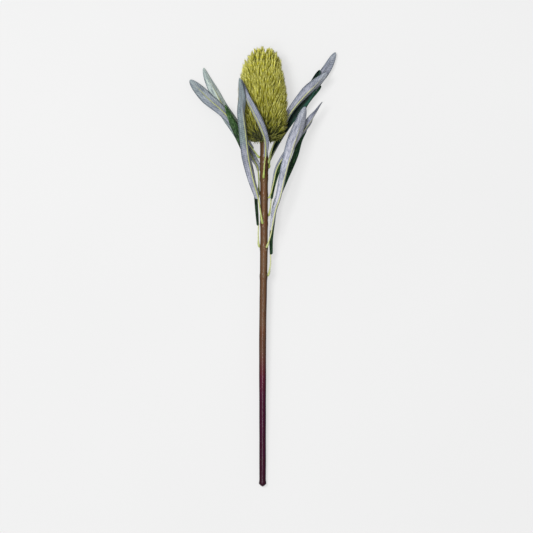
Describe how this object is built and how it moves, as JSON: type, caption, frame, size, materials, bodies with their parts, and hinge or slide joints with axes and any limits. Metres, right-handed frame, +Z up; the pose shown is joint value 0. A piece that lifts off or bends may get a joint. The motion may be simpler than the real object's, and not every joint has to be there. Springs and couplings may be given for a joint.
{
  "type": "banksia flower stem",
  "caption": "Cut flower stem lying down, with a yellow-green bristle brush head and long folded strap leaves, lavender-grey below and dark green above.",
  "frame": {"origin": "on the surface that the stem lies on, under the middle of its bounding box", "axes": "+Y from the cut end towards the top of the flower head, +Z up from the surface, +X to the right seen from above"},
  "size_m": [0.2072, 0.6198, 0.0817],
  "materials": {
    "stem": "satin, olive brown fading to maroon at the cut end",
    "bristles": "matt fibres, yellow-green, darker olive between them and at the base",
    "rib": "satin, pale yellow-green",
    "leaf_lavender": "soft felted underside, lavender grey with fine veins",
    "leaf_mint": "soft felted underside, grey mint with fine veins",
    "leaf_green": "matt dark green upper face with fine veins"
  },
  "bodies": {
    "root": {"stem": "stem", "flower_head": "bristles", "leaf_front_left": "leaf_mint", "leaf_front_left_rib": "rib", "leaf_front_right": "leaf_lavender", "leaf_front_right_rib": "rib", "leaf_left_low": "leaf_lavender", "leaf_left_low_rib": "rib", "leaf_left_high": "leaf_mint", "leaf_left_high_rib": "rib", "leaf_left_green": "leaf_green", "leaf_left_green_rib": "rib", "leaf_right_far": "leaf_lavender", "leaf_right_far_rib": "rib", "leaf_right_dark": "leaf_green", "leaf_right_dark_rib": "rib", "leaf_right_lavender": "leaf_lavender", "leaf_right_lavender_rib": "rib", "leaf_right_green": "leaf_green", "leaf_right_green_rib": "rib", "leaf_large_lavender": "leaf_lavender", "leaf_large_lavender_rib": "rib", "leaf_curled_grey": "leaf_lavender", "leaf_curled_grey_rib": "rib", "leaf_low_green": "leaf_green", "leaf_low_green_rib": "rib"}
  },
  "joints": []
}
